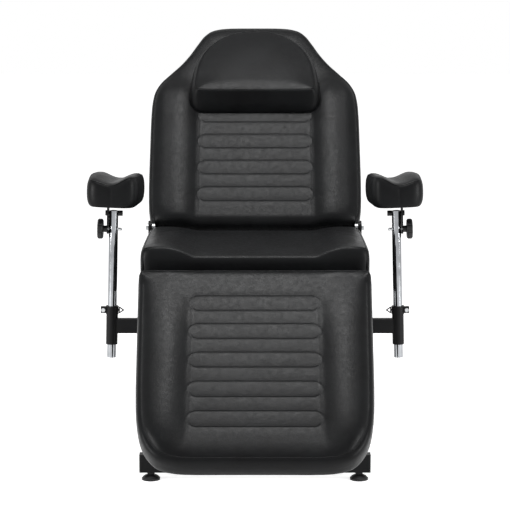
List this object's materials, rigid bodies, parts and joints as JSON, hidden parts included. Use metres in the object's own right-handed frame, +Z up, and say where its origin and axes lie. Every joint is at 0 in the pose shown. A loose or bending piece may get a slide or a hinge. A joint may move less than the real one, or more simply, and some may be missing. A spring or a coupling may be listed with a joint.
{
  "type": "tattoo chair",
  "caption": "Reclining treatment chair with tilting backrest, dropping leg rest, head pillow and saddle arm rests on swivelling poles.",
  "frame": {"origin": "on the floor, under the centre of the chair's bounding box", "axes": "+X to the right of the picture, +Y from the leg rest to the backrest, +Z up. Left and right in the names are those of the picture"},
  "size_m": [0.901, 1.5152, 1.1778],
  "materials": {
    "upholstery": "black synthetic leather, fine grain, satin",
    "black_steel": "black powder coat, satin",
    "chrome_steel": "polished",
    "zinc": "zinc plated",
    "spring_barrel": "black, gloss",
    "plywood": "raw plywood",
    "black_plastic": "fine texture"
  },
  "bodies": {
    "base": {"base_crossbars": "black_steel", "crossbar_caps": "black_plastic", "base_rails": "black_steel", "frame_posts": "black_steel", "seat_rails": "black_steel", "seat_cross_tubes": "black_steel", "strut_tubes": "black_steel", "strut_lugs": "black_steel", "back_pivot_plates": "black_steel", "leg_pivot_plates": "black_steel", "frame_bolts": "zinc", "seat_board": "plywood", "seat_cushion": "upholstery", "arm_stubs": "black_steel", "left_sleeve": "black_steel", "right_sleeve": "black_steel"},
    "backrest": {"back_arms": "black_steel", "back_side_tubes": "black_steel", "back_cross_tubes": "black_steel", "back_strut_clevis": "black_steel", "back_board": "plywood", "back_cushion": "upholstery"},
    "head_pillow": {"head_pillow": "upholstery"},
    "leg_rest": {"leg_ears": "black_steel", "leg_side_tubes": "black_steel", "leg_cross_tubes": "black_steel", "leg_strut_clevis": "black_steel", "leg_board": "plywood", "leg_cushion": "upholstery"},
    "back_spring_barrel": {"back_spring_barrel": "spring_barrel"},
    "back_spring_rod": {"back_spring_rod": "chrome_steel"},
    "back_spring_lever": {"back_spring_lever": "black_steel"},
    "leg_spring_barrel": {"leg_spring_barrel": "spring_barrel"},
    "leg_spring_rod": {"leg_spring_rod": "chrome_steel"},
    "leg_spring_lever": {"leg_spring_lever": "black_steel"},
    "foot_front_left": {"foot_front_left": "black_plastic"},
    "foot_front_right": {"foot_front_right": "black_plastic"},
    "foot_rear_left": {"foot_rear_left": "black_plastic"},
    "foot_rear_right": {"foot_rear_right": "black_plastic"},
    "left_collar": {"left_collar": "black_steel", "left_collar_bolt": "zinc"},
    "left_clamp_handle": {"left_clamp_handle": "black_steel"},
    "left_pole": {"left_pole": "chrome_steel", "left_tilt_bolt": "black_steel"},
    "left_pad": {"left_pad_bracket": "black_steel", "left_pad_board": "plywood", "left_pad_cushion": "upholstery"},
    "left_knob": {"left_knob": "black_plastic", "left_knob_stud": "zinc"},
    "right_collar": {"right_collar": "black_steel", "right_collar_bolt": "zinc"},
    "right_clamp_handle": {"right_clamp_handle": "black_steel"},
    "right_pole": {"right_pole": "chrome_steel", "right_tilt_bolt": "black_steel"},
    "right_pad": {"right_pad_bracket": "black_steel", "right_pad_board": "plywood", "right_pad_cushion": "upholstery"},
    "right_knob": {"right_knob": "black_plastic", "right_knob_stud": "zinc"}
  },
  "joints": [
    {"name": "backrest_tilt", "type": "hinge", "parent": "base", "child": "backrest", "pos_m": [0, 0.261, 0.627], "axis": [1, 0, 0], "range_deg": [-52.16, 17.8]},
    {"name": "leg_rest_drop", "type": "hinge", "parent": "base", "child": "leg_rest", "pos_m": [0, -0.239, 0.52], "axis": [1, 0, 0], "range_deg": [-41.25, 14]},
    {"name": "back_spring_swing", "type": "hinge", "parent": "base", "child": "back_spring_barrel", "pos_m": [0, 0.24147, 0.34768], "axis": [1, 0, 0], "range_deg": [-26.08, 8.9]},
    {"name": "back_spring_head", "type": "hinge", "parent": "backrest", "child": "back_spring_rod", "pos_m": [0, 0.51647, 0.7416], "axis": [1, 0, 0], "range_deg": [-8.9, 26.08]},
    {"name": "leg_spring_swing", "type": "hinge", "parent": "base", "child": "leg_spring_barrel", "pos_m": [0, -0.10931, 0.37545], "axis": [1, 0, 0], "range_deg": [-20.62, 7]},
    {"name": "leg_spring_head", "type": "hinge", "parent": "leg_rest", "child": "leg_spring_rod", "pos_m": [0, -0.35547, 0.3646], "axis": [1, 0, 0], "range_deg": [-7, 20.62]},
    {"name": "back_release", "type": "hinge", "parent": "back_spring_rod", "child": "back_spring_lever", "pos_m": [0, 0.5325, 0.76456], "axis": [1, 0, 0], "range_deg": [0, 15], "stiffness_Nm_per_rad": 3, "springref_deg": -11.46},
    {"name": "leg_release", "type": "hinge", "parent": "leg_spring_rod", "child": "leg_spring_lever", "pos_m": [0, -0.38344, 0.36337], "axis": [1, 0, 0], "range_deg": [0, 15], "stiffness_Nm_per_rad": 3, "springref_deg": -11.46},
    {"name": "pillow_lift", "type": "slide", "parent": "backrest", "child": "head_pillow", "axis": [0, -0.7897, 0.6135], "range_m": [0, 0.15]},
    {"name": "foot_front_left_screw", "type": "slide", "parent": "base", "child": "foot_front_left", "axis": [0, 0, -1], "range_m": [0, 0.015]},
    {"name": "foot_front_right_screw", "type": "slide", "parent": "base", "child": "foot_front_right", "axis": [0, 0, -1], "range_m": [0, 0.015]},
    {"name": "foot_rear_left_screw", "type": "slide", "parent": "base", "child": "foot_rear_left", "axis": [0, 0, -1], "range_m": [0, 0.015]},
    {"name": "foot_rear_right_screw", "type": "slide", "parent": "base", "child": "foot_rear_right", "axis": [0, 0, -1], "range_m": [0, 0.015]},
    {"name": "left_arm_swivel", "type": "hinge", "parent": "base", "child": "left_collar", "pos_m": [-0.3919, -0.114, 0.44199], "axis": [0.0262, 0, 0.9997], "continuous": true},
    {"name": "left_arm_height", "type": "slide", "parent": "left_collar", "child": "left_pole", "axis": [0.0262, 0, 0.9997], "range_m": [-0.085, 0.06]},
    {"name": "left_pad_tilt", "type": "hinge", "parent": "left_pole", "child": "left_pad", "pos_m": [-0.3846, -0.114, 0.72089], "axis": [-0.9997, 0, 0.0262], "range_deg": [-25, 25]},
    {"name": "left_knob_turn", "type": "hinge", "parent": "left_pole", "child": "left_knob", "pos_m": [-0.38575, -0.114, 0.6769], "axis": [-0.9997, 0, 0.0262], "continuous": true},
    {"name": "left_clamp_turn", "type": "hinge", "parent": "left_collar", "child": "left_clamp_handle", "pos_m": [-0.39161, -0.114, 0.45298], "axis": [-0.9997, 0, 0.0262], "continuous": true},
    {"name": "right_arm_swivel", "type": "hinge", "parent": "base", "child": "right_collar", "pos_m": [0.3919, -0.114, 0.44199], "axis": [-0.0262, 0, 0.9997], "continuous": true},
    {"name": "right_arm_height", "type": "slide", "parent": "right_collar", "child": "right_pole", "axis": [-0.0262, 0, 0.9997], "range_m": [-0.085, 0.06]},
    {"name": "right_pad_tilt", "type": "hinge", "parent": "right_pole", "child": "right_pad", "pos_m": [0.3846, -0.114, 0.72089], "axis": [0.9997, 0, 0.0262], "range_deg": [-25, 25]},
    {"name": "right_knob_turn", "type": "hinge", "parent": "right_pole", "child": "right_knob", "pos_m": [0.38575, -0.114, 0.6769], "axis": [0.9997, 0, 0.0262], "continuous": true},
    {"name": "right_clamp_turn", "type": "hinge", "parent": "right_collar", "child": "right_clamp_handle", "pos_m": [0.39161, -0.114, 0.45298], "axis": [0.9997, 0, 0.0262], "continuous": true}
  ],
  "couplings": [
    {"joint": "back_spring_swing", "follows": "backrest_tilt", "ratio": 0.5},
    {"joint": "back_spring_head", "follows": "backrest_tilt", "ratio": -0.5},
    {"joint": "leg_spring_swing", "follows": "leg_rest_drop", "ratio": 0.5},
    {"joint": "leg_spring_head", "follows": "leg_rest_drop", "ratio": -0.5}
  ]
}
